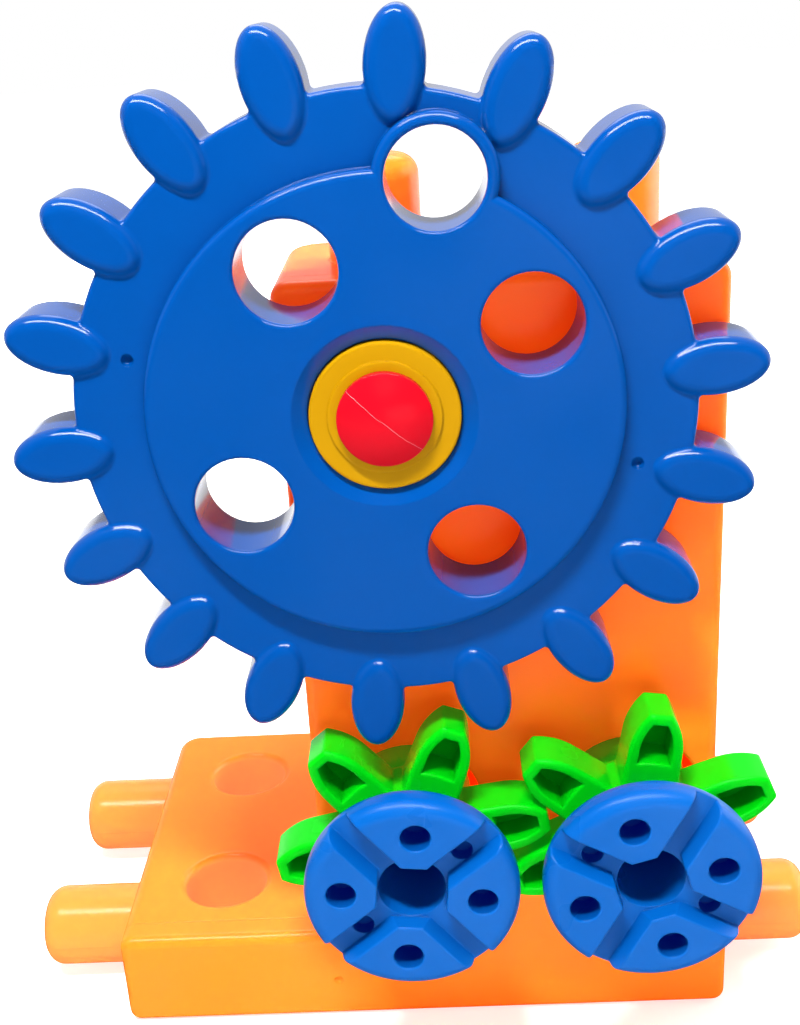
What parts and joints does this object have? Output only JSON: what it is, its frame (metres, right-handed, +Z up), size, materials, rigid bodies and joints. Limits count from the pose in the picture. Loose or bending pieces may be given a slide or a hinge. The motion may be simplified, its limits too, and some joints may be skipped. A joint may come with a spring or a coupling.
{
  "type": "gear building block toy",
  "caption": "Toy building block whose tower carries a large crank gear meshing with small pinions under slotted knobs; pegs and sockets join it to other blocks.",
  "frame": {"origin": "on the ground, at the middle of the toy's length and depth", "axes": "+X to the right seen from the gears, -Y out of the gears' faces, +Z up"},
  "size_m": [0.195, 0.131, 0.2335],
  "materials": {
    "block_orange": "glossy moulded plastic",
    "gear_blue": "glossy moulded plastic",
    "knob_blue": "satin moulded plastic",
    "pinion_green": "satin moulded plastic",
    "bush_yellow": "matte moulded plastic",
    "pin_red": "glossy moulded plastic",
    "screw_steel": "plain zinc-plated steel"
  },
  "bodies": {
    "block": {"block_front_shell": "block_orange", "block_rear_shell": "block_orange", "shell_screws": "screw_steel", "hub_bush": "bush_yellow", "hub_pin": "pin_red", "left_front_peg": "block_orange", "left_rear_peg": "block_orange", "right_front_peg": "block_orange", "right_rear_peg": "block_orange", "top_left_peg": "block_orange", "top_right_peg": "block_orange", "axle_pin_left": "knob_blue", "axle_bush_left": "bush_yellow", "axle_pin_right": "knob_blue", "axle_bush_right": "bush_yellow"},
    "drive_gear": {"drive_gear": "gear_blue"},
    "pinion_left": {"pinion_left": "pinion_green", "knob_left": "knob_blue"},
    "pinion_right": {"pinion_right": "pinion_green", "knob_right": "knob_blue"}
  },
  "joints": [
    {"name": "drive_gear_spin", "type": "hinge", "parent": "block", "child": "drive_gear", "pos_m": [0, -0.0415, 0.16], "axis": [0, 1, 0], "continuous": true},
    {"name": "pinion_left_spin", "type": "hinge", "parent": "block", "child": "pinion_left", "pos_m": [0, -0.0415, 0.06], "axis": [0, 1, 0], "continuous": true},
    {"name": "pinion_right_spin", "type": "hinge", "parent": "block", "child": "pinion_right", "pos_m": [0.05, -0.0415, 0.06], "axis": [0, 1, 0], "continuous": true}
  ],
  "couplings": [
    {"joint": "pinion_left_spin", "follows": "drive_gear_spin", "ratio": -3},
    {"joint": "pinion_right_spin", "follows": "drive_gear_spin", "ratio": 3}
  ]
}
